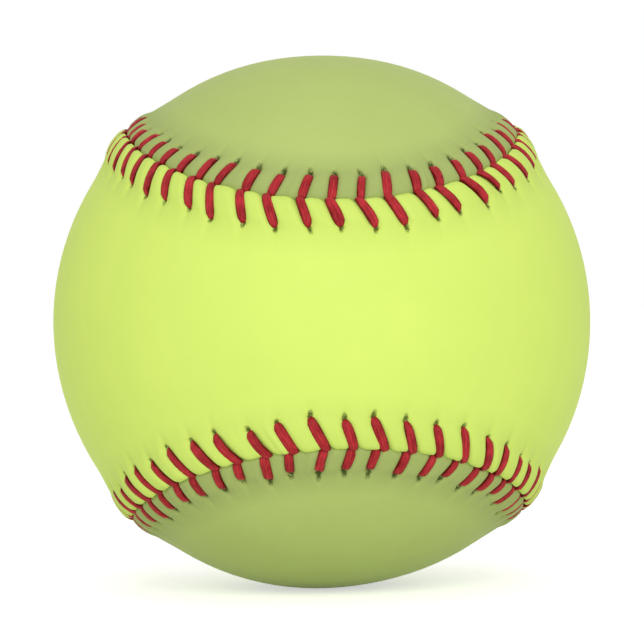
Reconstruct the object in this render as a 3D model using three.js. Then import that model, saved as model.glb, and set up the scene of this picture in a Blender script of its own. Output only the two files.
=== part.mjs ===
// A sewn ball of nine inches: a cushioned cork pill, four wound layers of yarn, two figure-eight
// leather panels and the one red thread that laces them together.
// Millimetres, +Z up, origin at the centre of the ball. The waist of the front panel faces -Y and its
// two lobes lie at -X and +X; the back panel is the same leather turned a quarter round the Y axis.
import * as THREE from "three";
import { mergeVertices } from "three/addons/utils/BufferGeometryUtils.js";

// The ball
const BALL_DIAMETER = 73.8; // over the smooth leather, away from the seam
const PIECE_CLEARANCE = 0.3; // between one layer and the next

// The seam line on the ball: 0 would be a great circle and larger numbers swing it further
const SEAM_SWING = 0.44;
const SEAM_REACH = 1.207;

// The leather
const LEATHER_THICKNESS = 1.3;
const SEAM_LIFT = 1.0; // how far the stitched margin stands above the round
const MARGIN_FOOT = 6.5; // from the seam line to where the leather lies on the round again
const EDGE_GAP = 0.3; // between the two cut edges

// The lacing
const STITCHES_PER_QUARTER = 27; // the seam line's four quarters are alike
const FIRST_STITCH = 0.27; // from the start of the seam line, in parts of the stitch spacing
const SPACING_SWING = 0.26; // the spacing opens and closes twice round the seam, by this part of itself
const THREAD_WIDTH = 1.0;
const THREAD_THICKNESS = 0.6;
const THREAD_CLEARANCE = 0.12;
const STRAND_GAP = 0.35; // between the two strands where they dive into the seam
const TAIL_LENGTH = 1.0; // of each thread end, tucked under the leather
const FRONT_HOLES = { fromSeam: 4.0, back: 1.25 }; // back: how far a hole trails its stitch
const BACK_HOLES = { fromSeam: 3.6, back: 1.1 };

// The pill
const CORK_DIAMETER = 20.6;
const BLACK_RUBBER_THICKNESS = 3.0;
const RED_RUBBER_THICKNESS = 2.7;
const GASKET_THICKNESS = 0.8;

// The yarn; the first grey layer fills what the others leave
const WHITE_WOOL_THICKNESS = 1.7;
const OUTER_GREY_WOOL_THICKNESS = 2.0;
const FINISH_YARN_THICKNESS = 0.6;
const YARN_PASSAGE_RADIUS = 1.0; // where the yarn's first end comes through its own layer

// How finely round shapes are cut into facets
const TURN_FACETS = 20;
const QUARTER_FACETS = 5;
const RIB_FACET_LENGTH = 6;

const ballRadius = BALL_DIAMETER / 2;
const leatherInside = ballRadius - LEATHER_THICKNESS;
const yarnRadius = leatherInside - PIECE_CLEARANCE;

// The line along which the panels meet, on a sphere of radius 1
class SeamLine extends THREE.Curve {
  getPoint(turn, target = new THREE.Vector3()) {
    const a = turn * 2 * Math.PI;
    return target
      .set(
        -Math.sin(a) - SEAM_SWING * Math.sin(3 * a),
        -SEAM_REACH * Math.cos(2 * a),
        Math.cos(a) - SEAM_SWING * Math.cos(3 * a),
      )
      .normalize();
  }
}
const seam = new SeamLine();
seam.arcLengthDivisions = 1440;
const seamLength = seam.getLength() * ballRadius;
const stitches = 4 * STITCHES_PER_QUARTER;
const stitchPitch = seamLength / stitches;
const stitchAt = (stitch) => {
  const stray = SPACING_SWING * Math.sin((4 * Math.PI * stitch) / stitches);
  return (stitch + FIRST_STITCH + stray) * stitchPitch;
};

// A point beside the seam: along is measured on the seam line, and aside square to it on the round,
// positive into the front panel and negative into the back panel.
function beside(along, aside, radius) {
  const share = (((along / seamLength) % 1) + 1) % 1;
  const onSeam = seam.getPointAt(share);
  const across = onSeam.clone().cross(seam.getTangentAt(share)).normalize();
  const angle = aside / ballRadius;
  return onSeam
    .multiplyScalar(Math.cos(angle))
    .addScaledVector(across, Math.sin(angle))
    .multiplyScalar(radius);
}

// What the thread needs: its section's half diagonal with room round it
const threadRoom = Math.hypot(THREAD_WIDTH, THREAD_THICKNESS) / 2 + THREAD_CLEARANCE;
const diveShift = (THREAD_WIDTH + STRAND_GAP) / 2;
const notchHalfLength = diveShift + threadRoom;

// Collects corners and faces into one closed geometry
class Skin {
  corners = [];
  faces = [];
  add(point) {
    return this.corners.push(point.x, point.y, point.z) / 3 - 1;
  }
  triangle(a, b, c) {
    this.faces.push(a, b, c);
  }
  quad(a, b, c, d) {
    this.triangle(a, b, c);
    this.triangle(a, c, d);
  }
  // Fills the band between two rows of corners, each a list of { at, corner } in rising order of at
  zip(low, high) {
    let i = 0;
    let j = 0;
    while (i < low.length - 1 || j < high.length - 1) {
      const stepLow = j === high.length - 1 || (i < low.length - 1 && low[i + 1].at < high[j + 1].at);
      if (stepLow) this.triangle(low[i].corner, low[i + 1].corner, high[j].corner);
      else this.triangle(low[i].corner, high[j + 1].corner, high[j].corner);
      if (stepLow) i += 1;
      else j += 1;
    }
  }
  geometry(insideOut) {
    const faces = insideOut ? this.faces.slice().reverse() : this.faces;
    return new THREE.BufferGeometry()
      .setAttribute("position", new THREE.Float32BufferAttribute(this.corners, 3))
      .setIndex(faces);
  }
}

// One row of corners all round the panel; spots gives { along, aside } for each stitch
function panelRow(skin, side, radius, spots) {
  const row = [];
  for (let stitch = 0; stitch < stitches; stitch += 1) {
    for (const { along, aside } of spots) {
      const at = stitchAt(stitch) + along;
      row.push({ at, corner: skin.add(beside(at, side * aside, radius)) });
    }
  }
  row.push({ at: row[0].at + seamLength, corner: row[0].corner });
  return row;
}

// Both rows of a margin, one under the other
function marginRows(skin, side, spots, lift) {
  return {
    top: panelRow(skin, side, ballRadius + lift, spots),
    under: panelRow(skin, side, leatherInside + lift, spots),
  };
}

// Covers the panel inside its margin with ribs from each foot corner to the one across the panel. The
// ribs at the two tips are sides of the foot itself, so they have no corner between.
function coverMiddle(skin, foot, firstTip, radius) {
  const cornerPoint = (corner) => new THREE.Vector3().fromArray(skin.corners, corner * 3);
  const footAt = (stitch) => foot[(stitch + stitches) % stitches].corner;
  let previous;
  const ribs = stitches / 2;
  for (let rib = 0; rib < ribs; rib += 1) {
    const start = footAt(firstTip + rib);
    const end = footAt(firstTip - 1 - rib);
    const from = cornerPoint(start);
    const to = cornerPoint(end);
    const angle = from.angleTo(to);
    const atTip = rib === 0 || rib === ribs - 1;
    const steps = atTip ? 1 : 2 * Math.max(1, Math.round((angle * radius) / RIB_FACET_LENGTH / 2));
    const row = [{ at: 0, corner: start }];
    for (let step = 1; step < steps; step += 1) {
      const share = step / steps;
      const point = from
        .clone()
        .multiplyScalar(Math.sin((1 - share) * angle))
        .addScaledVector(to, Math.sin(share * angle))
        .setLength(radius);
      row.push({ at: share, corner: skin.add(point) });
    }
    row.push({ at: 1, corner: end });
    if (previous) skin.zip(previous, row);
    previous = row;
  }
}

// A figure-eight panel: side is 1 for the front and -1 for the back, and firstTip is the first stitch
// past the tip of one of its lobes
function leatherPanel(side, holes, firstTip) {
  const skin = new Skin();
  const edge = marginRows(
    skin,
    side,
    [
      { along: -notchHalfLength - EDGE_GAP / 2, aside: EDGE_GAP / 2 },
      { along: -notchHalfLength, aside: threadRoom },
      { along: notchHalfLength, aside: threadRoom },
      { along: notchHalfLength + EDGE_GAP / 2, aside: EDGE_GAP / 2 },
    ],
    SEAM_LIFT,
  );
  const holeSides = (aside) => [
    { along: -holes.back - threadRoom, aside },
    { along: -holes.back + threadRoom, aside },
  ];
  const near = marginRows(skin, side, holeSides(holes.fromSeam - threadRoom), SEAM_LIFT);
  const far = marginRows(skin, side, holeSides(holes.fromSeam + threadRoom), SEAM_LIFT);
  const foot = marginRows(skin, side, [{ along: 0, aside: MARGIN_FOOT }], 0);

  skin.zip(near.top, edge.top);
  skin.zip(foot.top, far.top);
  skin.zip(edge.under, near.under);
  skin.zip(far.under, foot.under);
  skin.zip(edge.top, edge.under);
  for (let stitch = 0; stitch < stitches; stitch += 1) {
    // Each row has the two sides of a hole and then the land before the next one
    const [hole, land, next] = [2 * stitch, 2 * stitch + 1, 2 * stitch + 2];
    const pick = (row, ...spots) => spots.map((spot) => row[spot].corner);
    const [n0, n1, n2] = pick(near.top, hole, land, next);
    const [f0, f1, f2] = pick(far.top, hole, land, next);
    const [m0, m1, m2] = pick(near.under, hole, land, next);
    const [g0, g1, g2] = pick(far.under, hole, land, next);
    skin.quad(f1, f2, n2, n1);
    skin.quad(m1, m2, g2, g1);
    skin.quad(n1, n0, m0, m1);
    skin.quad(f1, n1, m1, g1);
    skin.quad(f0, f1, g1, g0);
    skin.quad(n0, f0, g0, m0);
  }
  coverMiddle(skin, foot.top, firstTip, ballRadius);
  const middleStart = skin.faces.length;
  coverMiddle(skin, foot.under, firstTip, leatherInside);
  skin.faces.push(...skin.faces.splice(middleStart).reverse());
  return skin.geometry(side > 0);
}

// The thread's route. Each stitch is two legs, one over each panel: up through a hole, over the
// margin, down between the cut edges, and under the other panel to the hole of the next stitch.
const overRadius = ballRadius + SEAM_LIFT + THREAD_CLEARANCE + THREAD_THICKNESS / 2;
const underRadius = yarnRadius + THREAD_CLEARANCE + THREAD_THICKNESS / 2;

function leg(stitch, side) {
  const holes = side > 0 ? FRONT_HOLES : BACK_HOLES;
  const hole = [stitchAt(stitch) - holes.back, side * holes.fromSeam];
  const dive = [stitchAt(stitch) + side * diveShift, 0];
  return [
    beside(...hole, underRadius),
    beside(...hole, overRadius),
    beside(...dive, overRadius),
    beside(...dive, underRadius),
  ];
}

// One needle's half of the thread: its legs change sides at each stitch, and its end is tucked away
function strand(firstSide) {
  const route = [];
  let side = firstSide;
  for (let stitch = 0; stitch < stitches; stitch += 1) {
    route.push(...leg(stitch, side));
    side = -side;
  }
  const lastDive = stitchAt(stitches - 1) - side * diveShift;
  route.push(beside(lastDive, side * TAIL_LENGTH, underRadius));
  return route;
}

// A flat band swept along a route of sharp corners, each corner cut on its mitre. A bend whose sine is
// under SLIGHT_BEND counts as straight.
const SLIGHT_BEND = 0.1;
function mitredSweep(route, width, thickness) {
  const skin = new Skin();
  const direction = (from, to) => to.clone().sub(from).normalize();
  let before;
  let square;
  route.forEach((point, i) => {
    const arriving = i ? direction(route[i - 1], point) : direction(point, route[1]);
    const leaving = i < route.length - 1 ? direction(point, route[i + 1]) : arriving.clone();
    const sideways = arriving.clone().cross(leaving);
    let mitre;
    if (sideways.length() > SLIGHT_BEND) {
      sideways.normalize();
      const halfTurn = arriving.angleTo(leaving) / 2;
      mitre = leaving.clone().sub(arriving).setLength(thickness / 2 / Math.cos(halfTurn));
    } else {
      sideways.crossVectors(arriving, point).normalize();
      mitre = sideways.clone().cross(arriving).setLength(thickness / 2);
    }
    // A half turn of the section keeps its long side from crossing over between two corners
    const upright = mitre.clone().projectOnPlane(arriving);
    const flip = before && upright.dot(before) < 0 ? -1 : 1;
    mitre.multiplyScalar(flip);
    sideways.multiplyScalar((flip * width) / 2);
    before = mitre.clone().projectOnPlane(leaving);
    const corners = [
      [1, 1],
      [-1, 1],
      [-1, -1],
      [1, -1],
    ].map(([m, s]) => skin.add(point.clone().addScaledVector(mitre, m).addScaledVector(sideways, s)));
    if (square) {
      for (let c = 0; c < 4; c += 1) {
        const d = (c + 1) % 4;
        skin.quad(square[c], square[d], corners[d], corners[c]);
      }
    } else skin.quad(corners[3], corners[2], corners[1], corners[0]);
    square = corners;
  });
  skin.quad(...square);
  return skin.geometry(false);
}

// Round pieces are turned about Z. An arc's heights run from one angle above the equator to another.
function arc(radius, fromAngle, toAngle, steps) {
  return Array.from({ length: steps + 1 }, (_, i) => {
    const angle = fromAngle + ((toAngle - fromAngle) * i) / steps;
    return new THREE.Vector2(Math.max(0, radius * Math.cos(angle)), radius * Math.sin(angle));
  });
}
function turned(profile) {
  const lathe = new THREE.LatheGeometry(profile, TURN_FACETS).rotateX(Math.PI / 2);
  lathe.deleteAttribute("normal");
  lathe.deleteAttribute("uv");
  return mergeVertices(lathe);
}
const POLE = Math.PI / 2;

const ball = (radius) => turned(arc(radius, -POLE, POLE, 2 * QUARTER_FACETS));

// Half a shell, cut flat a little above the equator
function halfShell(inside, outside, rimHeight) {
  return turned([
    ...arc(outside, Math.asin(rimHeight / outside), POLE, QUARTER_FACETS),
    ...arc(inside, POLE, Math.asin(rimHeight / inside), QUARTER_FACETS),
    new THREE.Vector2(Math.sqrt(outside ** 2 - rimHeight ** 2), rimHeight),
  ]);
}

// A whole layer of wound yarn, open only where its first end comes through
function windingShell(inside, outside) {
  const steps = 2 * QUARTER_FACETS;
  const passage = (radius) => Math.acos(YARN_PASSAGE_RADIUS / radius);
  return turned([
    ...arc(outside, -POLE, passage(outside), steps),
    ...arc(inside, passage(inside), -POLE, steps),
  ]);
}

function ring(inside, outside, thickness) {
  const high = thickness / 2;
  return turned([
    new THREE.Vector2(inside, -high),
    new THREE.Vector2(outside, -high),
    new THREE.Vector2(outside, high),
    new THREE.Vector2(inside, high),
    new THREE.Vector2(inside, -high),
  ]);
}

const MATERIALS = {
  cork: { color: 0xa9784f, roughness: 0.9 },
  blackRubber: { color: 0x1e1e20, roughness: 0.7 },
  redRubber: { color: 0x9c2b22, roughness: 0.6 },
  greyWool: { color: 0x8b8984, roughness: 0.95 },
  whiteWool: { color: 0xe4dfd2, roughness: 0.95 },
  finishYarn: { color: 0xf0ede2, roughness: 0.85 },
  brightLeather: { color: 0xe2fb79, roughness: 0.55 },
  sageLeather: { color: 0xb4c278, roughness: 0.55 },
  redThread: { color: 0xc42a3c, roughness: 0.6 },
};

const ballGroup = new THREE.Group();
function place(name, geometry, material, turnOver = false) {
  const mesh = new THREE.Mesh(
    geometry,
    new THREE.MeshStandardMaterial({ metalness: 0, ...MATERIALS[material] }),
  );
  mesh.name = name;
  if (turnOver) mesh.rotation.x = Math.PI;
  ballGroup.add(mesh);
}

// The pill: cork in two black cups with a gasket between their rims, in two red cups
const corkRadius = CORK_DIAMETER / 2;
const blackInside = corkRadius + PIECE_CLEARANCE;
const blackOutside = blackInside + BLACK_RUBBER_THICKNESS;
const redInside = blackOutside + PIECE_CLEARANCE;
const redOutside = redInside + RED_RUBBER_THICKNESS;
const blackRim = GASKET_THICKNESS / 2 + PIECE_CLEARANCE;
place("cork_center", ball(corkRadius), "cork");
for (const [half, turnOver] of [
  ["upper", false],
  ["lower", true],
]) {
  const blackCup = halfShell(blackInside, blackOutside, blackRim);
  const redCup = halfShell(redInside, redOutside, PIECE_CLEARANCE / 2);
  place(`black_rubber_shell_${half}`, blackCup, "blackRubber", turnOver);
  place(`red_rubber_shell_${half}`, redCup, "redRubber", turnOver);
}
place("rubber_gasket", ring(blackInside, blackOutside, GASKET_THICKNESS), "redRubber");

// The yarn layers, from the outside in, each turned over so that no two passages line up
let outside = yarnRadius;
for (const [name, thickness, material, turnOver] of [
  ["cotton_finish_winding", FINISH_YARN_THICKNESS, "finishYarn", true],
  ["outer_grey_wool_winding", OUTER_GREY_WOOL_THICKNESS, "greyWool", false],
  ["white_wool_winding", WHITE_WOOL_THICKNESS, "whiteWool", true],
]) {
  place(name, windingShell(outside - thickness, outside), material, turnOver);
  outside -= thickness + PIECE_CLEARANCE;
}
place("inner_grey_wool_winding", windingShell(redOutside + PIECE_CLEARANCE, outside), "greyWool");

// The cover
place("front_cover_panel", leatherPanel(1, FRONT_HOLES, STITCHES_PER_QUARTER), "brightLeather");
place("back_cover_panel", leatherPanel(-1, BACK_HOLES, 0), "sageLeather");
const threadRoute = [...strand(-1).reverse(), ...strand(1)];
place("seam_thread", mitredSweep(threadRoute, THREAD_WIDTH, THREAD_THICKNESS), "redThread");

export default ballGroup;
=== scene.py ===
import math
import random

import bmesh
import bpy
import numpy as np
from mathutils import Matrix, Quaternion, Vector, noise


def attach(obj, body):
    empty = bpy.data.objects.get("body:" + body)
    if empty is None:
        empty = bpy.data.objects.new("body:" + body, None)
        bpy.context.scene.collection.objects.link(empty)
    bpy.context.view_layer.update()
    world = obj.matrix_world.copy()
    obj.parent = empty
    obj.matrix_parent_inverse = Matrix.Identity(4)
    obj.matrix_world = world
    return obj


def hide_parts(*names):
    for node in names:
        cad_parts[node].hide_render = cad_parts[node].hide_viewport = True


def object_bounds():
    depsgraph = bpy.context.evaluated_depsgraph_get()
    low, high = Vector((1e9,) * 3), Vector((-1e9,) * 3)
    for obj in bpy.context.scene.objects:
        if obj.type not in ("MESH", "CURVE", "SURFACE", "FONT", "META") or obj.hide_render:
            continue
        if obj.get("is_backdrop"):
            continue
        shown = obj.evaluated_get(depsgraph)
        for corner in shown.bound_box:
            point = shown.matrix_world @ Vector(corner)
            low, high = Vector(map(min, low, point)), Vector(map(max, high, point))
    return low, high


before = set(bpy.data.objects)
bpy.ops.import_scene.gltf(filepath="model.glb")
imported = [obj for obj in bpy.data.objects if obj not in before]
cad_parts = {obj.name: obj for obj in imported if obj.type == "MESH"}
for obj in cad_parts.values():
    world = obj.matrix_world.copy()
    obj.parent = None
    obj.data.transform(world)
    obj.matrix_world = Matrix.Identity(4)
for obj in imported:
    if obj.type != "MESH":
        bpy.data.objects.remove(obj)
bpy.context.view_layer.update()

# The view.
# The ball is seen level and nearly square on, with the waist of its bright panel turned a few degrees
# to one side. The lens is long: the eye is twelve ball radii away.
ball_radius = 0.03679
radii_away = 12
eye_distance = radii_away * ball_radius
image_width = 644
radius_in_image = 268.4
centre_in_image = (321.9, 321.1)
ball_turn = (
    Matrix.Rotation(-0.018, 3, "Y") @ Matrix.Rotation(0.0134, 3, "X") @ Matrix.Rotation(0.0775, 3, "Z")
)
scene = bpy.context.scene
eye = bpy.data.cameras.new("eye")
eye.sensor_width = 36
eye.lens = eye.sensor_width * radius_in_image * math.sqrt(radii_away**2 - 1) / image_width
eye.shift_x = (image_width / 2 - centre_in_image[0]) / image_width
eye.shift_y = (centre_in_image[1] - image_width / 2) / image_width
eye.clip_start = 0.01
camera = bpy.data.objects.new("eye", eye)
back_turn = ball_turn.transposed()
camera.matrix_world = Matrix.Translation(back_turn @ Vector((0, -eye_distance, 0))) @ (
    back_turn @ Matrix.Rotation(math.pi / 2, 3, "X")
).to_4x4()
scene.collection.objects.link(camera)
scene.camera = camera
scene.view_settings.view_transform = "Standard"


# The studio.
# It is white where it is looked at, and gives a soft even light of its own.
def feed(tree, socket, value):
    """Links one input of a shader node to another node's output, or sets it to a plain value."""
    if isinstance(value, bpy.types.NodeSocket):
        tree.links.new(value, socket)
    else:
        socket.default_value = value


def node(tree, kind, **inputs):
    """Adds a shader node and feeds its inputs by name."""
    made = tree.nodes.new(kind)
    for name, value in inputs.items():
        feed(tree, made.inputs[name.replace("_", " ")], value)
    return made


def maths(tree, operation, *values, clamp=False):
    """Adds a Math node and gives its result."""
    made = tree.nodes.new("ShaderNodeMath")
    made.operation = operation
    made.use_clamp = clamp
    for socket, value in zip(made.inputs, values):
        feed(tree, socket, value)
    return made.outputs[0]


def either_shader(tree, share, one, other):
    """Adds a Mix Shader node and gives its result."""
    made = node(tree, "ShaderNodeMixShader", Fac=share)
    feed(tree, made.inputs[1], one)
    feed(tree, made.inputs[2], other)
    return made.outputs[0]


def seen_white(tree, kind, strength):
    """Says where the camera, a reflection or a clear piece looks, and gives a plain white for there."""
    path = tree.nodes.new("ShaderNodeLightPath").outputs
    reflected = maths(tree, "MAXIMUM", path["Is Glossy Ray"], path["Is Transmission Ray"])
    looked_at = maths(tree, "MAXIMUM", path["Is Camera Ray"], reflected)
    white = node(tree, kind, Color=(1, 1, 1, 1), Strength=strength)
    return looked_at, white.outputs[0]


studio = bpy.data.worlds.new("studio")
scene.world = studio
studio.use_nodes = True
tree = studio.node_tree
tree.nodes.clear()
room_light = 0.51
looked_at, white = seen_white(tree, "ShaderNodeBackground", 1.0)
room = node(tree, "ShaderNodeBackground", Color=(1, 1, 1, 1), Strength=room_light)
node(tree, "ShaderNodeOutputWorld", Surface=either_shader(tree, looked_at, room.outputs[0], white))


# The floor.
# It is pale matt paper. A little plain white is added to it where it is looked at, so that it is nearly
# as white as the studio and still keeps the ball's shadow.
def put_in_scene(name, bm):
    """Makes a smooth-shaded object of a bmesh and adds it to the scene."""
    for face in bm.faces:
        face.smooth = True
    mesh = bpy.data.meshes.new(name)
    bm.to_mesh(mesh)
    bm.free()
    made = bpy.data.objects.new(name, mesh)
    scene.collection.objects.link(made)
    return made


floor_size = 3.0
paper_color = (0.97, 0.97, 0.97, 1)
added_white = 0.55
bm = bmesh.new()
bmesh.ops.create_grid(bm, x_segments=2, y_segments=2, size=floor_size)
floor = put_in_scene("floor", bm)
paper = bpy.data.materials.new("pale floor")
paper.use_nodes = True
tree = paper.node_tree
tree.nodes.clear()
matt = node(tree, "ShaderNodeBsdfDiffuse", Color=paper_color).outputs[0]
looked_at, white = seen_white(tree, "ShaderNodeEmission", added_white)
both = tree.nodes.new("ShaderNodeAddShader")
feed(tree, both.inputs[0], matt)
feed(tree, both.inputs[1], white)
lit = either_shader(tree, looked_at, matt, both.outputs[0])
node(tree, "ShaderNodeOutputMaterial", Surface=lit)
floor.data.materials.append(paper)
floor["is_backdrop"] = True

# The lamps.
# All three are soft: the main one in front above the eye, a weak one level with the ball for its lower
# half, and a weak one overhead for its top and, by way of the floor, for its underside.
for lamp_name, place, width, power in [
    ("key lamp", (0.01, -0.90, 0.37), 0.5, 3.25),
    ("low fill", (0.0, -0.60, 0.0), 0.3, 0.32),
    ("overhead lamp", (0.0, 0.0, 0.90), 0.7, 0.5),
]:
    lamp = bpy.data.lights.new(lamp_name, "AREA")
    lamp.shape = "SQUARE"
    lamp.size = width
    lamp.energy = power
    stand = bpy.data.objects.new(lamp_name, lamp)
    aim = (Vector((0, 0, 0)) - Vector(place)).to_track_quat("-Z", "Y")
    stand.matrix_world = Matrix.Translation(place) @ aim.to_matrix().to_4x4()
    scene.collection.objects.link(stand)


# The leather cover.
# Two figure-eight panels of dyed alum-tanned leather, one bright yellow-green and one sage green. They
# are cut alike and laid on the yarn a quarter turn apart, and meet edge to edge along one closed
# seam. The tight lacing lifts their margins in a low ridge and puckers the leather at every hole.
mm = 0.001
leather_thickness = 1.25
cover_radius = ball_radius / mm
seam_swing = 0.44
seam_reach = 1.207
seam_steps = 8640
turns = np.linspace(0, 2 * math.pi, seam_steps + 1)


def seam_direction(turn):
    """The seam line on a ball of radius 1, at turns from 0 to 2 pi, and the way along it."""
    raw = np.stack(
        [
            -np.sin(turn) - seam_swing * np.sin(3 * turn),
            -seam_reach * np.cos(2 * turn),
            np.cos(turn) - seam_swing * np.cos(3 * turn),
        ],
        axis=-1,
    )
    way = np.stack(
        [
            -np.cos(turn) - 3 * seam_swing * np.cos(3 * turn),
            2 * seam_reach * np.sin(2 * turn),
            -np.sin(turn) + 3 * seam_swing * np.sin(3 * turn),
        ],
        axis=-1,
    )
    on_ball = raw / np.linalg.norm(raw, axis=-1, keepdims=True)
    way -= on_ball * np.sum(way * on_ball, axis=-1, keepdims=True)
    return on_ball, way / np.linalg.norm(way, axis=-1, keepdims=True)


seam_points = seam_direction(turns)[0]
seam_run = np.concatenate(
    [[0], np.cumsum(np.linalg.norm(np.diff(seam_points, axis=0), axis=1))]
) * cover_radius
seam_length = seam_run[-1]


def beside_seam(along, aside):
    """The way from the ball's centre to a place so far along the seam and aside of it, in mm."""
    on_ball, way = seam_direction(np.interp(np.mod(along, seam_length), seam_run, turns))
    across = np.cross(on_ball, way)
    angle = (aside / cover_radius)[..., None]
    return on_ball * np.cos(angle) + across * np.sin(angle)


# The lacing's plan, in mm: each of 108 stitches has one leg on each panel. A leg runs from its hole
# towards the seam and a little ahead along it. The spacing swings slowly, and no two legs are alike:
# each way in which the sewing hand strays has a seed of its own.
stitches = 108
pitch = seam_length / stitches
stitch_start = 0.27
spacing_swing = 0.26
spacing_seed = 156771
spacing_spread = 0.065


def uneven(seed, spread):
    """How far each stitch strays from the plan in one way."""
    hand = random.Random(seed)
    return np.array([hand.gauss(0, spread) for _ in range(stitches)])


stitch_numbers = np.arange(stitches)
swing = spacing_swing * np.sin(4 * math.pi * stitch_numbers / stitches)
stitch_at = (stitch_numbers + stitch_start + swing + uneven(spacing_seed, spacing_spread)) * pitch

# the leather puckers most where the seam bends most, at the waists and at the tips of the lobes
seam_bend = 0.72 + 0.36 * np.cos(8 * math.pi * stitch_numbers / stitches)


def plan_legs(
    seeds, hole_aside, hole_back, seam_end, seam_ahead, width, crease_length, crease_half_width
):
    """One panel's legs: where they start and end, how they bow, and how the leather creases past them.
    The spreads are in mm for places and the bow, and shares of the mean for the rest."""
    seed = iter(seeds)
    return {
        "mean_hole_aside": hole_aside,
        "crease_half_width": crease_half_width,
        "hole_along": stitch_at - hole_back + uneven(next(seed), 0.19),
        "hole_aside": hole_aside + uneven(next(seed), 0.34),
        "end_along": stitch_at + seam_ahead + uneven(next(seed), 0.22),
        "end_aside": np.full(stitches, seam_end),
        "bow": uneven(next(seed), 0.11),
        "width": width * (1 + uneven(next(seed), 0.08)),
        "crease": uneven(next(seed), 0.16),
        "crease_length": crease_length * seam_bend * np.clip(1 + uneven(next(seed), 0.22), 0.5, 1.5),
        "lobe": 1 + uneven(next(seed), 0.22),
    }


front_legs = plan_legs(
    seeds=(268246, 28070, 65508, 252491, 56161, 6, 7, 8),
    hole_aside=3.90,
    hole_back=1.13,
    seam_end=-0.45,
    seam_ahead=0.68,
    width=1.28,
    crease_length=0.90,
    crease_half_width=0.19,
)
back_legs = plan_legs(
    seeds=(158591, 113305, 220712, 250206, 160945, 16, 17, 18),
    hole_aside=3.62,
    hole_back=0.66,
    seam_end=0.00,
    seam_ahead=0.05,
    width=1.36,
    crease_length=1.12,
    crease_half_width=0.27,
)

# the stitched margin is highest near the seam, and ends in plain leather this far from it
crest_aside = 0.8
foot_aside = 8.3


def ridge(aside, side):
    """Height in mm of the stitched margin above the round. The bright panel's stands the higher."""
    mean_lift, more_on_bright = 0.75, 0.16
    edge_drop, edge_width = 0.42, 0.36
    lift = mean_lift + more_on_bright * side
    fall = np.clip((aside - crest_aside) / (foot_aside - crest_aside), 0, 1)
    rounded_edge = edge_drop * np.exp(-((np.maximum(aside, 0) / edge_width) ** 1.4))
    return lift * (0.5 + 0.5 * np.cos(math.pi * fall)) - rounded_edge


def yarn_swell(direction):
    """The slow unevenness of the wound yarn under the leather, in mm: the ball isn't quite round."""
    swell_height, top_dip, bottom_dip, slump = 0.035, 0.38, 0.30, 0.22
    x, y, z = direction[..., 0], direction[..., 1], direction[..., 2]
    swell = np.sin(7.1 * x + 3.3 * y + 1.0) * np.sin(5.7 * y - 2.9 * z + 2.0)
    swell = swell + np.sin(6.3 * z + 4.4 * x)
    flat_top = top_dip * np.exp(-((1 - z) / 0.05))
    flat_bottom = bottom_dip * np.exp(-((1 + 0.97 * z - 0.24 * x) / 0.06))
    slumped = slump * z * (2 * x * z) ** 2
    return swell_height * swell - flat_top - flat_bottom - slumped


def combed(share_along, row_aside, legs):
    """Where a margin grid's point lies: its columns run along the legs and crowd together there.
    Beyond the holes they run square to the seam, as the creases do. Gives how far along the seam and
    aside of it the point is, its nearest stitch, and how far it is off that stitch's leg, in mm."""
    crowding = 0.5
    number = share_along * stitches
    first = np.floor(number + 1e-9).astype(int)
    part = np.clip(number - first, 0, 1)
    part -= crowding * np.sin(2 * math.pi * part) / (2 * math.pi)
    hole_share = np.clip(row_aside / legs["mean_hole_aside"], 0, 1)

    def leg_line(k):
        """Where leg k's line is along the seam at each row, and its hole's distance over the mean one."""
        turn = seam_length * (k // stitches)
        k = np.mod(k, stitches)
        end, hole = legs["end_along"][k], legs["hole_along"][k]
        return end + (hole - end) * hole_share + turn, legs["hole_aside"][k] / legs["mean_hole_aside"]

    one, one_reach = leg_line(first)
    next_one, next_reach = leg_line(first + 1)
    # the columns part evenly over the last stretch to the foot, and the rows there are level
    last_stretch = 2.0
    blend = np.clip((foot_aside - row_aside) / last_stretch, 0, 1)
    blend = blend * blend * (3 - 2 * blend)
    line = one + (next_one - one) * part
    along = line * blend + share_along * seam_length * (1 - blend)
    reach = one_reach * (1 - part) + next_reach * part
    reach = 1 + (reach - 1) * blend * np.clip(row_aside / last_stretch, 0, 1)
    nearest = np.mod(np.where(part > 0.5, first + 1, first), stitches)
    nearest_line = np.where(part > 0.5, next_one, one)
    return along, row_aside * reach, nearest, along - nearest_line


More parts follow.
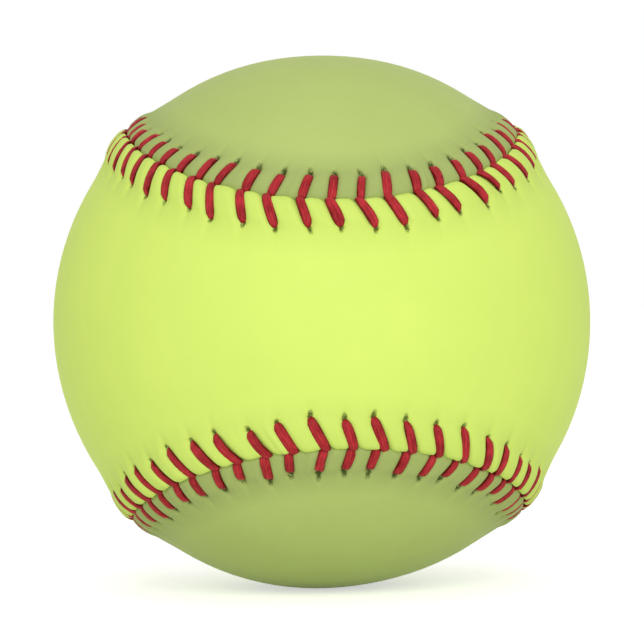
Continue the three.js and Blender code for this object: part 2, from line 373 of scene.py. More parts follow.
def lacing_relief(aside, nearest, off_leg, legs):
    """What the lacing does to the leather: height in mm, and each point's place by its crease.
    The place, kept as hole_place, is how far beside the crease in its half widths, how far past the
    hole in its lengths, and how far from the seam in mm."""
    # pads stand between the legs, and each leg lies in a bed; its hole pulls the leather down, and the
    # crease past the hole is a wide furrow with a narrow pit along its middle
    pad_height, pad_reach = 0.34, 2.2
    bed_depth, bed_half_width = 0.34, 0.78
    pull_depth, pull_half_width, pull_reach = 0.12, 0.95, 1.1
    furrow_depth, furrow_half_width, furrow_middle, furrow_reach = 0.13, 0.55, 1.0, 1.4
    pit_depth, pit_start = 0.30, 0.1
    beyond = aside - legs["hole_aside"][nearest]
    stitched = 1 / (1 + np.exp((beyond - 0.15) / 0.30))
    pad = 1 - np.exp(-((np.abs(off_leg) / bed_half_width) ** 2.4))
    bulge = np.exp(-((np.maximum(aside - pad_reach, 0) / pad_reach) ** 2))
    pull = np.exp(-((off_leg / pull_half_width) ** 2)) * np.exp(-((beyond / pull_reach) ** 2))
    furrow = np.exp(-(((beyond - furrow_middle) / furrow_reach) ** 2))
    furrow *= np.exp(-((off_leg / furrow_half_width) ** 2))
    off_crease = np.abs(off_leg - legs["crease"][nearest] * beyond)
    past_end = (beyond + pit_start) / legs["crease_length"][nearest]
    half_width = legs["crease_half_width"] * (1 + 0.5 * np.clip(1 - past_end, 0, 1))
    pit = np.exp(-((off_crease / half_width) ** 2)) * np.clip(1.15 - past_end, 0, 1)
    pit = pit / (1 + np.exp(-beyond / 0.06 - 2))
    height = pad_height * legs["lobe"][nearest] * bulge * pad * stitched
    height -= bed_depth * (1 - pad) * stitched
    height -= pull_depth * pull + furrow_depth * furrow + pit_depth * pit
    return height, np.stack([off_crease / half_width, past_end, aside], axis=-1)


# the bright legs cross the cut edges a little before their ends
cross_back = 0.25
crossing = np.sort(front_legs["end_along"] - cross_back)
crossing = np.concatenate([crossing - seam_length, crossing, crossing + seam_length])


def seam_waver(along):
    """How far the cut edges stray to the sage side, in mm: the bright pads bulge between the legs."""
    scallop, slow_waver = 0.28, 0.05
    count = np.interp(along, crossing, np.arange(len(crossing)))
    turn = 2 * math.pi * along / seam_length
    scalloped = scallop * (np.abs(np.sin(math.pi * count)) ** 0.8 - 0.5)
    return scalloped + slow_waver * np.sin(31 * turn + 1)


def put_points(verts, kept, points, places):
    """Moves points of a bmesh to places in mm, and keeps three numbers with each for its material."""
    for vert, point, place in zip(verts, points * mm, places):
        vert.co = point
        vert[kept] = place


def laid_grid(bm, columns, rows, lay, attribute):
    """Makes a flat grid and bends it by a rule: from two shares, along and across, to points in mm
    and the numbers that they keep."""
    grid = bmesh.ops.create_grid(bm, x_segments=columns, y_segments=rows, size=1.0)["verts"]
    flat = np.array([vert.co for vert in grid])
    flat /= np.abs(flat).max(axis=0) + [0, 0, 1]
    points, places = lay(flat[:, 0] * 0.5 + 0.5, flat[:, 1] * 0.5 + 0.5)
    put_points(grid, bm.verts.layers.float_vector.get(attribute), points, places)


columns_per_stitch = 18
# in mm: from the seam to a cut edge, how far beside the seam its waver reaches, and the last stretch
# of the margin, where the relief fades out
edge_gap = 0.03
waver_reach = 1.3
relief_fade = 0.8
# what hole_place holds away from the holes: see lacing_relief for its three numbers
far_from_holes = np.array([9.0, 9.0, 9.0])


def cover_panel(name, side, legs, first_tip):
    """One panel: its stitched margin, the cut edge and flesh side, and the plain leather inside them.
    Side is 1 for the bright panel's side of the seam and -1 for the other, and first_tip is where the
    seam bends round the tip of one of its lobes, in mm along it."""
    bm = bmesh.new()
    bm.verts.layers.float_vector.new("hole_place")
    columns = columns_per_stitch * stitches
    hole = float(legs["mean_hole_aside"])
    outer_rows = np.concatenate(
        [
            [edge_gap, 0.10, 0.2, 0.34, 0.55, 0.9, 1.4],
            np.linspace(1.9, hole - 0.45, 4),
            hole + np.array([-0.22, -0.08, 0.04, 0.16, 0.30, 0.46, 0.66, 0.90, 1.2, 1.6]),
            np.linspace(hole + 2.1, foot_aside, 4),
        ]
    )

    def placed(share_along, row_aside):
        """The ways from the ball's centre, heights over the round and kept numbers of margin points."""
        along, aside, nearest, off_leg = combed(share_along, row_aside, legs)
        stray = seam_waver(along) * np.exp(-((aside / waver_reach) ** 2))
        out = beside_seam(along, side * aside - stray)
        relief, places = lacing_relief(aside, nearest, off_leg, legs)
        relief *= np.clip((foot_aside - aside) / relief_fade, 0, 1)
        return out, ridge(aside, side) + relief + yarn_swell(out), places

    def margin(share_along, share_across):
        """The rule for the outer face of the margin."""
        row = np.interp(share_across * (len(outer_rows) - 1), range(len(outer_rows)), outer_rows)
        out, height, places = placed(share_along, row)
        return out * (cover_radius + height)[:, None], places

    def edge_and_flesh(share_along, share_across):
        """The rule for the cut edge, and for the flesh side under the margin."""
        row = np.rint(share_across * 4).astype(int)
        row_aside = np.array([edge_gap, edge_gap, 1.0, 4.0, foot_aside])[row]
        out, top = placed(share_along, row_aside)[:2]
        under = np.where(row == 0, top, ridge(np.maximum(row_aside, 1.0), side) - leather_thickness)
        under = np.where(row == 4, -leather_thickness, under)
        return out * (cover_radius + under)[:, None], np.tile(far_from_holes, (len(row), 1))

    def middle(radius, swell):
        """The rule for leather that spans a panel, from one side of its margin over to the other."""

        def lay(share_along, share_across):
            start = first_tip + share_along * seam_length / 2
            end = first_tip - share_along * seam_length / 2
            one = beside_seam(start, np.full(start.shape, side * foot_aside))
            other = beside_seam(end, np.full(end.shape, side * foot_aside))
            angle = np.arccos(np.clip(np.sum(one * other, axis=1), -1, 1))
            safe = np.maximum(np.sin(angle), 1e-9)
            first = np.where(angle > 1e-6, np.sin((1 - share_across) * angle) / safe, 1 - share_across)
            second = np.where(angle > 1e-6, np.sin(share_across * angle) / safe, share_across)
            out = one * first[:, None] + other * second[:, None]
            out /= np.linalg.norm(out, axis=1, keepdims=True)
            height = radius + swell * yarn_swell(out)
            return out * height[:, None], np.tile(far_from_holes, (len(out), 1))

        return lay

    for grid_columns, rows, lay in [
        (columns, len(outer_rows) - 1, margin),
        (columns, 4, edge_and_flesh),
        (columns // 2, 22, middle(cover_radius, 1)),
        (columns // 2, 4, middle(cover_radius - leather_thickness, 0)),
    ]:
        laid_grid(bm, grid_columns, rows, lay, "hole_place")
    bmesh.ops.remove_doubles(bm, verts=bm.verts, dist=0.002 * mm)
    bmesh.ops.recalc_face_normals(bm, faces=bm.faces)
    return put_in_scene(name, bm)


def mix_colors(tree, share, one, other):
    """Adds a Mix node for two colours and gives its result."""
    made = tree.nodes.new("ShaderNodeMix")
    made.data_type = "RGBA"
    for socket, value in ((made.inputs[0], share), (made.inputs[6], one), (made.inputs[7], other)):
        feed(tree, socket, value)
    return made.outputs[2]


def kept_numbers(tree, attribute):
    """Reads the three numbers that a piece's points keep, together and apart."""
    read = tree.nodes.new("ShaderNodeAttribute")
    read.attribute_name = attribute
    together = read.outputs["Vector"]
    return together, node(tree, "ShaderNodeSeparateXYZ", Vector=together).outputs


def blank_material(name, color, roughness):
    """A material with its plain values set, its Principled shader, and the object's own coordinates."""
    material = bpy.data.materials.new(name)
    material.use_nodes = True
    material.diffuse_color = color
    tree = material.node_tree
    shader = tree.nodes["Principled BSDF"]
    shader.inputs["Base Color"].default_value = color
    shader.inputs["Roughness"].default_value = roughness
    place = tree.nodes.new("ShaderNodeTexCoord").outputs["Object"]
    return material, tree, shader, place


def give_look(tree, shader, color, height, distance, strength):
    """Gives a shader its colour, and the fine bumps of a height pattern."""
    tree.links.new(color, shader.inputs["Base Color"])
    bump = node(tree, "ShaderNodeBump", Height=height, Distance=distance, Strength=strength)
    tree.links.new(bump.outputs["Normal"], shader.inputs["Normal"])


flesh_color = (0.56, 0.70, 0.20, 1)


# stretched is the darker colour of the painted shade over the stitched margin
def dyed_leather(name, dye, deep_dye, stretched, painted_shade_color, edge_shade):
    """Smooth dyed leather: faint clouds, fine pores, and painted shade on its margin, holes and creases.
    """
    material, tree, shader, place = blank_material(name, dye, 0.58)
    shader.inputs["Specular IOR Level"].default_value = 0.2
    clouds = node(tree, "ShaderNodeTexNoise", Vector=place, Scale=85.0, Detail=4.0, Roughness=0.6)
    grain = node(tree, "ShaderNodeTexVoronoi", Vector=place, Scale=1900.0)
    fine = node(tree, "ShaderNodeTexNoise", Vector=place, Scale=900.0, Detail=3.0)
    tint = maths(tree, "MULTIPLY_ADD", clouds.outputs["Fac"], 1.6, -0.45, clamp=True)
    color = mix_colors(tree, tint, dye, deep_dye)
    off_crease, past_end, from_seam = kept_numbers(tree, "hole_place")[1]
    # each hole and its crease get painted shade, with a ragged outline
    torn = node(tree, "ShaderNodeTexNoise", Vector=place, Scale=2200.0, Detail=2.0)
    ragged = maths(tree, "MULTIPLY_ADD", torn.outputs["Fac"], 3.4, -1.75)
    sideways = maths(tree, "ADD", maths(tree, "POWER", off_crease, 2.0), ragged)
    sideways = maths(tree, "MULTIPLY_ADD", sideways, -0.62, 1.20, clamp=True)
    lengthways = maths(tree, "MULTIPLY_ADD", past_end, -1.7, 1.95, clamp=True)
    dark = maths(tree, "MULTIPLY", maths(tree, "MULTIPLY", sideways, lengthways), 0.94)
    at_hole = maths(tree, "GREATER_THAN", past_end, -0.6)
    dark = maths(tree, "MULTIPLY", dark, at_hole)
    # painted shade darkens the stitched margin near the seam, and the sage one towards its cut edge
    margin = tree.nodes.new("ShaderNodeMapRange")
    margin.interpolation_type = "SMOOTHSTEP"
    tree.links.new(from_seam, margin.inputs["Value"])
    for socket, value in (("From Min", 3.2), ("From Max", foot_aside), ("To Min", 1.0), ("To Max", 0.0)):
        margin.inputs[socket].default_value = value
    # the margin darkens to stretched: painted shade
    color = mix_colors(tree, margin.outputs["Result"], color, stretched)
    shaded_width = 2.6
    edge = maths(tree, "MULTIPLY_ADD", from_seam, -edge_shade / shaded_width, edge_shade, clamp=True)
    color = mix_colors(tree, edge, color, painted_shade_color)
    # painted shade at the holes and along their creases
    color = mix_colors(tree, dark, color, painted_shade_color)
    # flecks of the pale flesh side show where the leather is torn
    fray = node(tree, "ShaderNodeTexNoise", Vector=place, Scale=3100.0, Detail=1.0)
    frayed = maths(tree, "GREATER_THAN", fray.outputs["Fac"], 0.63)
    frayed = maths(tree, "MULTIPLY", frayed, maths(tree, "MULTIPLY", dark, 0.75))
    color = mix_colors(tree, frayed, color, flesh_color)
    pores = maths(tree, "ADD", grain.outputs["Distance"], fine.outputs["Fac"])
    give_look(tree, shader, color, pores, distance=0.00003, strength=0.35)
    return material


front_panel = cover_panel("bright_leather_panel", side=1, legs=front_legs, first_tip=seam_length / 4)
front_panel.data.materials.append(
    dyed_leather(
        "bright yellow-green leather",
        dye=(0.77, 0.97, 0.185, 1),
        deep_dye=(0.72, 0.92, 0.168, 1),
        # stretched: the darker colour of the painted shade over the stitched margin
        stretched=(0.68, 0.87, 0.163, 1),
        # the colour of the painted shade at the holes and in their creases
        painted_shade_color=(0.085, 0.115, 0.010, 1),
        edge_shade=0.0,
    )
)
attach(front_panel, "root")
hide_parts("front_cover_panel")

back_panel = cover_panel("sage_leather_panel", side=-1, legs=back_legs, first_tip=0)
back_panel.data.materials.append(
    dyed_leather(
        "sage green leather",
        dye=(0.53, 0.65, 0.190, 1),
        deep_dye=(0.485, 0.60, 0.168, 1),
        # stretched: the darker colour of the painted shade over the stitched margin
        stretched=(0.42, 0.515, 0.155, 1),
        # the colour of the painted shade at the holes, in their creases and along the cut edge
        painted_shade_color=(0.047, 0.071, 0.006, 1),
        edge_shade=0.10,
    )
)
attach(back_panel, "root")
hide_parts("back_cover_panel")


# The lacing.
# One long crimson cotton thread with a needle at each end, waxed so that its strands lie together. At
# each stitch a leg comes up through a hole on either panel, crosses the margin and dives between
# the cut edges; the bright panel's leg laps over the other.
strand_sides = 8
strand_steps = 9
# shares of a strand's width: from one strand to the next, and half its height
strand_spacing = 0.70
half_height = 0.46
# some legs show three strands and the others two; each strand strays and lifts a little, in mm, and
# the outer ones lie lower
three_strand_share = 0.5
strand_stray = 0.025
strand_lift = 0.05
outer_sink = 0.06
bm = bmesh.new()
bmesh.ops.create_cone(bm, cap_ends=True, segments=strand_sides, radius1=1, radius2=1, depth=2)
upright = [edge for edge in bm.edges if abs(edge.verts[0].co.z - edge.verts[1].co.z) > 1]
bmesh.ops.subdivide_edges(bm, edges=upright, cuts=strand_steps - 1, use_grid_fill=True)
one_strand = bpy.data.meshes.new("strand")
bm.to_mesh(one_strand)
bm.free()
straight = np.array([vert.co for vert in one_strand.vertices])


def lay_strand(leg, side, offset, lift, rng):
    """Bends the straight strand along a leg, beside its middle line by offset and above it by lift."""
    share = 0.5 - 0.5 * np.cos(math.pi * (straight[:, 2] * 0.5 + 0.5))
    # the strands leave the hole close together, spread over the leg's width and draw in at the seam,
    # and each is slim at both ends
    blunt = leg["blunt"]
    fan = np.interp(share, [0, 0.14, 0.34, 0.75, 1], [blunt, 0.5 * blunt + 0.5, 1, 1, 0.6])
    wobble = rng.gauss(0, strand_stray) * np.sin(math.pi * (share * rng.uniform(1.2, 2.2) + rng.random()))
    tip_share = 0.20 - 0.14 * blunt
    slim_at = [0, tip_share, 2.6 * tip_share, 0.85, 0.95, 1]
    slim = np.interp(share, slim_at, [0.4, 0.86, 1, 1, 0.85, 0.35])
    base_along = leg["hole_along"] + (leg["end_along"] - leg["hole_along"]) * share
    base_along += leg["bow"] * np.sin(math.pi * share)
    base_aside = leg["hole_aside"] + (leg["end_aside"] - leg["hole_aside"]) * share
    run = math.hypot(leg["end_along"] - leg["hole_along"], leg["end_aside"] - leg["hole_aside"])
    # the unit way across the leg, in the plan of the lacing
    across_along = (leg["hole_aside"] - leg["end_aside"]) / run
    across_aside = (leg["end_along"] - leg["hole_along"]) / run
    side_step = offset * fan + wobble + straight[:, 0] * 0.5 * leg["strand"] * slim
    along = base_along + across_along * side_step
    aside = base_aside + across_aside * side_step
    rise = np.interp(share, leg["rise_at"], leg["rise"])
    height = ridge(np.maximum(np.abs(aside), crest_aside), side) + rise + lift * fan
    height = height + straight[:, 1] * half_height * leg["strand"] * slim
    out = beside_seam(along, side * aside)
    return out * (cover_radius + height + yarn_swell(out))[:, None]


bundle = bmesh.new()
strand_turn = np.abs(np.arctan2(straight[:, 1], straight[:, 0])) / math.pi
points = []
places = []
fibre_rng = random.Random(5)
# how a leg rises from its hole and dives at the seam: shares of its run, and mm above the margin there
front_rise = [0, 0.04, 0.12, 0.5, 0.86, 0.95, 1], [-0.6, -0.25, -0.02, 0.0, -0.10, -0.22, -0.6]
back_rise = [0, 0.05, 0.15, 0.5, 0.85, 1], [-0.6, -0.25, -0.03, 0.02, -0.04, -0.40]
for legs, side, (rise_at, rise), bluntest in [
    (front_legs, 1, front_rise, 0.66),
    (back_legs, -1, back_rise, 0.85),
]:
    for stitch in range(stitches):
        leg = {key: value[stitch] for key, value in legs.items() if np.ndim(value)}
        leg["rise_at"], leg["rise"] = rise_at, rise
        leg["blunt"] = bluntest * min(1.0, float(seam_bend[stitch]))
        strands = 3 if fibre_rng.random() < three_strand_share else 2
        leg["strand"] = leg["width"] / (strand_spacing * (strands - 1) + 1)
        for number in range(strands):
            from_middle = number - (strands - 1) / 2
            offset = from_middle * strand_spacing * leg["strand"]
            lift = strand_lift * fibre_rng.random() - outer_sink * abs(from_middle)
            points.append(lay_strand(leg, side, offset, lift, fibre_rng))
            bundle.from_mesh(one_strand)
            # strand_place holds the turn round the strand, the run along it with three more for each
            # strand laid before it, and how near the crown of its strand and of its leg a point lies
            off_middle = (offset + straight[:, 0] * 0.5 * leg["strand"]) / (0.5 * leg["width"])
            crown = 0.5 * straight[:, 1] + 0.5 * (1 - off_middle**2)
            run = straight[:, 2] * 0.5 + 0.5 + 3 * len(places)
            places.append(np.stack([strand_turn, run, crown], axis=1))
strand_place = bundle.verts.layers.float_vector.new("strand_place")
put_points(bundle.verts, strand_place, np.concatenate(points), np.concatenate(places))
bundle.normal_update()
bmesh.ops.recalc_face_normals(bundle, faces=bundle.faces)
lacing = put_in_scene("red_lacing", bundle)

material, tree, shader, place = blank_material("waxed crimson thread", (0.38, 0.014, 0.018, 1), 0.5)
shader.inputs["Specular IOR Level"].default_value = 0.13
strand_run, (turn_round, along_strand, crown) = kept_numbers(tree, "strand_place")
ply = maths(tree, "MULTIPLY_ADD", along_strand, 7.0, turn_round)
ply = maths(tree, "SINE", maths(tree, "MULTIPLY", ply, 2 * math.pi))
fuzz = node(tree, "ShaderNodeTexNoise", Vector=place, Scale=2600.0, Detail=3.0)
patch = node(tree, "ShaderNodeTexNoise", Vector=place, Scale=420.0, Detail=2.0)
# long streaks of fibre, stretched along the strand
stretched = node(tree, "ShaderNodeVectorMath", Vector=strand_run)
stretched.operation = "MULTIPLY"
stretched.inputs[1].default_value = (2.6, 5.0, 0.0)
streaks = node(tree, "ShaderNodeTexNoise", Vector=stretched.outputs[0], Scale=1.0, Detail=2.0)
shade = maths(tree, "MULTIPLY_ADD", patch.outputs["Fac"], 1.0, -1.07)
shade = maths(tree, "MULTIPLY_ADD", streaks.outputs["Fac"], 1.1, shade)
# painted light near the crown of each strand and leg, painted shade on their flanks and outer edges
shade = maths(tree, "MULTIPLY_ADD", crown, 0.80, shade, clamp=True)
# the dark end holds random tone and painted shade, the pale end random tone and painted light
deep_and_shaded_crimson = (0.13, 0.0012, 0.0010, 1)
pale_and_lit_crimson = (0.61, 0.040, 0.050, 1)
color = mix_colors(tree, shade, deep_and_shaded_crimson, pale_and_lit_crimson)
fibres = maths(tree, "MULTIPLY_ADD", ply, 0.35, fuzz.outputs["Fac"])
give_look(tree, shader, color, fibres, distance=0.00003, strength=0.4)
lacing.data.materials.append(material)
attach(lacing, "root")
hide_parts("seam_thread")

# The cork centre.
# A ball of ground cork, pressed and cooked with rubber in a mould of two halves. Its granules show as
# lumps and pits, and a faint ridge runs round its middle where the halves of the mould met.
cork_radius = 10.3
lumps_over_ball, lump_edge, lump_depth = 9.0, 0.35, 0.16
pits_over_ball, pit_share, pit_depth = 5.5, 0.28, 0.9
mould_line, mould_line_width = 0.14, 0.3
bm = bmesh.new()
bmesh.ops.create_icosphere(bm, subdivisions=6, radius=1.0)
for vert in bm.verts:
    out = vert.co.normalized()
    near, further = noise.voronoi(out * lumps_over_ball)[0][:2]
    lump = min(further - near, lump_edge) / lump_edge
    pit = max(0.0, noise.noise(out * pits_over_ball + Vector((3, 1, 2))) - pit_share)
    below_line = mould_line * (1 - math.exp(-((out.z * cork_radius / mould_line_width) ** 2)))
    depth = lump_depth * (1 - lump) ** 2 + pit_depth * pit + below_line
    vert.co = out * (cork_radius - depth) * mm
cork = put_in_scene("cork_centre_ball", bm)
material, tree, shader, place = blank_material("pressed cork and rubber", (0.42, 0.24, 0.12, 1), 0.9)
shader.inputs["Specular IOR Level"].default_value = 0.2
granules = node(tree, "ShaderNodeTexVoronoi", Vector=place, Scale=620.0)
crumbs = node(tree, "ShaderNodeTexNoise", Vector=place, Scale=1500.0, Detail=4.0)
parts = node(tree, "ShaderNodeSeparateXYZ", Vector=granules.outputs["Color"])
dark_cork, pale_cork = (0.30, 0.155, 0.070, 1), (0.56, 0.34, 0.175, 1)
rubber_color, gap_color = (0.035, 0.024, 0.020, 1), (0.13, 0.065, 0.035, 1)
color = mix_colors(tree, parts.outputs[0], dark_cork, pale_cork)
rubber_share = maths(tree, "GREATER_THAN", parts.outputs[1], 0.82)
color = mix_colors(tree, rubber_share, color, rubber_color)
gaps = maths(tree, "MULTIPLY_ADD", granules.outputs["Distance"], 1.6, -0.55, clamp=True)
color = mix_colors(tree, gaps, color, gap_color)
lumps = maths(tree, "SUBTRACT", crumbs.outputs["Fac"], granules.outputs["Distance"])
give_look(tree, shader, color, lumps, distance=0.00012, strength=0.7)
cork.data.materials.append(material)
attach(cork, "root")
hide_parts("cork_center")


# The rubber cushions.
# Two black cups close round the cork with a thin red ring between their rims, and two red cups close
# round the black ones. Each is pressed in a mould, with rounded rims, a bead of flash a little above
# the rim and a shallow dimple at the pole where the rubber was let in.
def rounded(corners, steps=5):
    """A profile of points (across, up) from corners (across, up, rounding), each rounded that far."""
    points = []
    for number, (across, up, size) in enumerate(corners):
        corner = Vector((across, up))
        if size == 0:
            points.append(corner)
            continue
        before = (Vector(corners[number - 1][:2]) - corner).normalized() * size
        after = (Vector(corners[(number + 1) % len(corners)][:2]) - corner).normalized() * size
        for step in range(steps + 1):
            share = step / steps
            points.append(corner + before * (1 - share) ** 2 + after * share**2)
    return points


def arc(radius, low, high, steps):
    """Points (across, up) on a round profile, between two angles above the equator in degrees."""
    angles = [math.radians(low + (high - low) * step / steps) for step in range(steps + 1)]
    return [Vector((radius * math.cos(angle), radius * math.sin(angle))) for angle in angles]


def spun(profile, turned_over, steps=128):
    """A bmesh of a profile in mm, spun round the ball's upright axis."""
    bm = bmesh.new()
    flip = -1 if turned_over else 1
    ring = [bm.verts.new((max(point.x, 0) * mm, 0, flip * point.y * mm)) for point in profile]
    edges = [bm.edges.new(pair) for pair in zip(ring, ring[1:] + ring[:1])]
    bmesh.ops.spin(
        bm, geom=ring + edges, axis=(0, 0, 1), angle=2 * math.pi, steps=steps, use_merge=True
    )
    bmesh.ops.remove_doubles(bm, verts=bm.verts, dist=0.001 * mm)
    bmesh.ops.recalc_face_normals(bm, faces=bm.faces)
    return bm


def moulded_rubber(name, color, bloom, specks):
    """Moulded rubber: a dusty bloom in clouds, small specks of filler and a fine matt grain."""
    material, tree, shader, place = blank_material(name, color, 0.62)
    shader.inputs["Specular IOR Level"].default_value = 0.35
    clouds = node(tree, "ShaderNodeTexNoise", Vector=place, Scale=140.0, Detail=5.0, Roughness=0.65)
    filler = node(tree, "ShaderNodeTexVoronoi", Vector=place, Scale=900.0)
    grain = node(tree, "ShaderNodeTexNoise", Vector=place, Scale=2600.0, Detail=2.0)
    dust = maths(tree, "MULTIPLY_ADD", clouds.outputs["Fac"], 2.2, -0.85, clamp=True)
    mixed = mix_colors(tree, dust, color, bloom)
    speck = maths(tree, "LESS_THAN", filler.outputs["Distance"], 0.13)
    mixed = mix_colors(tree, maths(tree, "MULTIPLY", speck, 0.6), mixed, specks)
    dull = maths(tree, "MULTIPLY_ADD", dust, 0.22, 0.52)
    tree.links.new(dull, shader.inputs["Roughness"])
    give_look(tree, shader, mixed, grain.outputs["Fac"], distance=0.00005, strength=0.5)
    return material


black_rubber = moulded_rubber(
    "black cushion rubber",
    color=(0.016, 0.016, 0.017, 1),
    bloom=(0.060, 0.060, 0.062, 1),
    specks=(0.16, 0.16, 0.155, 1),
)
red_rubber = moulded_rubber(
    "red cushion rubber",
    color=(0.36, 0.030, 0.018, 1),
    bloom=(0.47, 0.085, 0.060, 1),
    specks=(0.12, 0.012, 0.010, 1),
)


def cushion_cup(name, inside, outside, rim_up, turned_over):
    """One cup: radii inside and outside over the flash, and the height of its rim over the equator."""
    dimple_depth, dimple_radius = 0.35, 1.1
    flash_height, flash_width, flash_above_rim = 0.10, 0.22, 1.6
    skin_radius = outside - flash_height
    # the arcs stop a few degrees short of the rim, where its rounding begins
    short = 2.5
    skin = arc(outside, math.degrees(math.asin(rim_up / outside)) + short, 90, 40)
    for point in skin:
        off_flash = (point.y - rim_up - flash_above_rim) / flash_width
        dimple = dimple_depth * math.exp(-((point.x / dimple_radius) ** 4))
        point.length = skin_radius - dimple + flash_height * math.exp(-(off_flash**2))
    lining = arc(inside, 90, math.degrees(math.asin(rim_up / inside)) + short, 32)
    outer_rim = math.sqrt(skin_radius**2 - rim_up**2)
    inner_rim = math.sqrt(inside**2 - rim_up**2)
    rim = rounded(
        [
            (inner_rim, rim_up + 0.45, 0),
            (inner_rim, rim_up, 0.3),
            (outer_rim, rim_up, 0.4),
            (outer_rim, rim_up + 0.5, 0),
        ]
    )[1:-1]
    return put_in_scene(name, spun(skin + lining + rim, turned_over))


for half, turned_over in [("upper", False), ("lower", True)]:
    black_cup = cushion_cup(
        f"black_cushion_cup_{half}", inside=10.6, outside=13.6, rim_up=0.7, turned_over=turned_over
    )
    black_cup.data.materials.append(black_rubber)
    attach(black_cup, "root")
    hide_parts(f"black_rubber_shell_{half}")
    red_cup = cushion_cup(
        f"red_cushion_cup_{half}", inside=13.9, outside=16.6, rim_up=0.15, turned_over=turned_over
    )
    red_cup.data.materials.append(red_rubber)
    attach(red_cup, "root")
    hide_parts(f"red_rubber_shell_{half}")

# the gasket swells a little in the middle of its width
gasket_top = [
    (13.6, 0.34, 0.15),
    (12.7, 0.34, 0.1),
    (12.1, 0.4, 0.3),
    (11.5, 0.34, 0.1),
    (10.6, 0.34, 0.15),
]
gasket_foot = [(across, -up, size) for across, up, size in reversed(gasket_top)]
gasket = put_in_scene("gasket_ring", spun(rounded(gasket_foot + gasket_top), turned_over=False))
gasket.data.materials.append(red_rubber)
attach(gasket, "root")
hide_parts("rubber_gasket")


# The windings.
# Yarn is wound tight over the pill in four layers: thick grey wool, white wool, grey wool again, and a
# fine white cotton blend. Each layer is a packed shell, open where its first end comes through, with
# the last turns laid over it as one yarn that follows one great circle after another.
def twisted_yarn(name, pale, dark, plies, plies_per_mm, fleck, speckle):
    """Plied yarn: a twist along its own run, flecked fibres, a soft sheen and painted shade."""
    material, tree, shader, place = blank_material(name, pale, 0.92)
    shader.inputs["Specular IOR Level"].default_value = 0.15
    shader.inputs["Sheen Weight"].default_value = 0.35
    turn_round, run_in_mm, share_wound = kept_numbers(tree, "yarn_place")[1]
    twist = maths(tree, "MULTIPLY", turn_round, float(plies))
    twist = maths(tree, "MULTIPLY_ADD", run_in_mm, plies_per_mm, twist)
    twist = maths(tree, "ABSOLUTE", maths(tree, "SINE", maths(tree, "MULTIPLY", twist, math.pi)))
    fibres = node(tree, "ShaderNodeTexNoise", Vector=place, Scale=1700.0, Detail=4.0, Roughness=0.7)
    patches = node(tree, "ShaderNodeTexNoise", Vector=place, Scale=260.0, Detail=2.0)
    # painted shade darkens the grooves between the plies, and the fibres and the patches vary the tone;
    # the turns wound first lie deeper and get painted shade, darkest on the packed shell, so the turns
    # wound last are the palest
    shade = maths(tree, "MULTIPLY_ADD", twist, 0.40, fibres.outputs["Fac"])
    shade = maths(tree, "MULTIPLY_ADD", patches.outputs["Fac"], 0.5, shade)
    shade = maths(tree, "SUBTRACT", shade, 0.75)
    shade = maths(tree, "MULTIPLY_ADD", share_wound, 0.30, shade, clamp=True)
    color = mix_colors(tree, shade, dark, pale)
    flecks = node(tree, "ShaderNodeTexVoronoi", Vector=place, Scale=760.0)
    flecked = maths(tree, "LESS_THAN", flecks.outputs["Distance"], speckle)
    color = mix_colors(tree, maths(tree, "MULTIPLY", flecked, 0.7), color, fleck)
    strands = maths(tree, "MULTIPLY_ADD", fibres.outputs["Fac"], 0.45, twist)
    give_look(tree, shader, color, strands, distance=0.00018, strength=0.8)
    return material


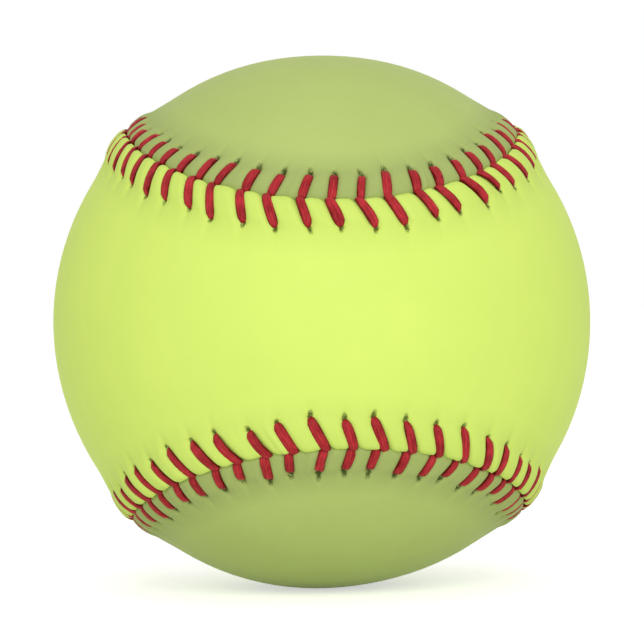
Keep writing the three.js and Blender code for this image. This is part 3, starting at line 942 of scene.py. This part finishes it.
def wound_layer(name, inside, outside, yarn, turn_count, section, turned_over):
    """A packed shell with its passage, and one long yarn wound over it. Sizes in mm."""
    # shares of the yarn's width: how thick its flattened section is, how deep the shell and the first
    # turn lie, and how the yarn rises and sinks over its neighbours just inside the layer's radius
    flatness, shell_depth, first_depth, ripple_height, below = 0.62, 0.75, 0.45, 0.10, 0.12
    hand = random.Random(turn_count)
    passage = 1.0
    packed = outside - shell_depth * yarn
    opening = math.degrees(math.acos(passage / packed))
    lining_opening = math.degrees(math.acos(passage / inside))
    profile = arc(packed, -90, opening, 40) + arc(inside, lining_opening, -90, 30)
    bm = spun(profile, turned_over, steps=80)

    # how the great circle of each turn lies: it tips by a little more than a yarn's width, and now and
    # then by far more
    lie = Quaternion([hand.gauss(0, 1) for _ in range(4)]).normalized()
    lies = [lie]
    around = 0.0
    for turn in range(turn_count):
        if turn % 5 == 4 or hand.random() < 0.1:
            around = hand.uniform(0, 2 * math.pi)
            tip = hand.uniform(0.5, 1.5)
        else:
            tip = 1.25 * yarn / outside
        lie = lie @ Quaternion(Vector((math.cos(around), math.sin(around), 0)), tip)
        lies.append(lie)
    steps = 48
    run = []
    for turn in range(turn_count):
        for step in range(steps):
            angle = 2 * math.pi * step / steps
            lie = lies[turn].slerp(lies[turn + 1], step / steps)
            run.append(lie @ Vector((math.cos(angle), math.sin(angle), 0)))
    run = np.array(run)
    # the yarn keeps clear of the passage
    pole = -1.0 if turned_over else 1.0
    from_pole = np.arccos(np.clip(pole * run[:, 2], -1, 1))
    kept = np.hypot(from_pole, (passage + 0.8 * yarn) / outside)
    flat = run[:, :2] / np.maximum(np.linalg.norm(run[:, :2], axis=1, keepdims=True), 1e-6)
    run = np.column_stack([flat * np.sin(kept)[:, None], pole * np.cos(kept)])
    heading = np.gradient(run, axis=0)
    sideways = np.cross(heading, run)
    sideways /= np.linalg.norm(sideways, axis=1, keepdims=True)
    # the layer grows a little from the first turn to the last
    share = np.linspace(0, 1, len(run))
    thick = flatness * yarn
    ripple = ripple_height * yarn * np.sin(share * turn_count * 2 * math.pi * 2.7 + turn_count)
    centre_line = outside - below * yarn - thick / 2 - first_depth * yarn * (1 - share) ** 0.7 + ripple

    def along_run(share_along, share_round):
        """The rule for the yarn's grid. yarn_place: turn round it, mm along it, share of the winding."""
        at = np.rint(share_along * (len(run) - 1)).astype(int)
        turn_round = np.rint(share_round * section) % section / section
        angle = 2 * math.pi * turn_round - math.pi / 2
        from_centre = centre_line[at] + (thick / 2) * np.sin(angle)
        aside = (yarn / 2) * np.cos(angle)
        points = run[at] * from_centre[:, None] + sideways[at] * aside[:, None]
        return points, np.stack([turn_round, at * 2 * math.pi * outside / steps, share[at]], axis=-1)

    bm.verts.layers.float_vector.new("yarn_place")
    laid_grid(bm, len(run) - 1, section, along_run, "yarn_place")
    bmesh.ops.remove_doubles(bm, verts=bm.verts, dist=0.00001 * mm)
    bmesh.ops.holes_fill(bm, edges=bm.edges, sides=section)
    bmesh.ops.recalc_face_normals(bm, faces=bm.faces)
    return put_in_scene(name, bm)


grey_wool = twisted_yarn(
    "grey wool yarn",
    pale=(0.36, 0.35, 0.335, 1),
    dark=(0.080, 0.078, 0.076, 1),
    plies=4,
    plies_per_mm=0.50,
    fleck=(0.62, 0.60, 0.56, 1),
    speckle=0.16,
)
white_wool = twisted_yarn(
    "white wool yarn",
    pale=(0.86, 0.82, 0.73, 1),
    dark=(0.40, 0.36, 0.30, 1),
    plies=3,
    plies_per_mm=0.65,
    fleck=(0.60, 0.55, 0.47, 1),
    speckle=0.10,
)
cotton = twisted_yarn(
    "white cotton yarn",
    pale=(0.90, 0.88, 0.82, 1),
    dark=(0.50, 0.47, 0.41, 1),
    plies=2,
    plies_per_mm=1.3,
    fleck=(0.70, 0.66, 0.58, 1),
    speckle=0.08,
)
# each layer's radii and yarn width in mm, its turns of yarn, the sides of the yarn's section, and
# whether its passage is below
for name, cad_node, slot, yarn_look, inside, outside, yarn, turn_count, section, turned_over in [
    ("grey_wool_first_winding", "inner_grey_wool_winding", "grey_wool", grey_wool,
     16.9, 30.1, 1.7, 150, 7, False),
    ("white_wool_winding_yarn", "white_wool_winding", "white_wool", white_wool,
     30.4, 32.1, 1.3, 200, 7, True),
    ("grey_wool_third_winding", "outer_grey_wool_winding", "grey_wool", grey_wool,
     32.4, 34.4, 1.3, 210, 7, False),
    ("cotton_finish_yarn", "cotton_finish_winding", "finish_yarn", cotton,
     34.7, 35.3, 0.55, 440, 4, True),
]:
    winding = wound_layer(name, inside, outside, yarn, turn_count, section, turned_over)
    winding.data.materials.append(yarn_look)
    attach(winding, "root")
    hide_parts(cad_node)

# the ball rests on the floor at its lowest point
visual_low, visual_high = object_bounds()
floor.location.z = visual_low.z
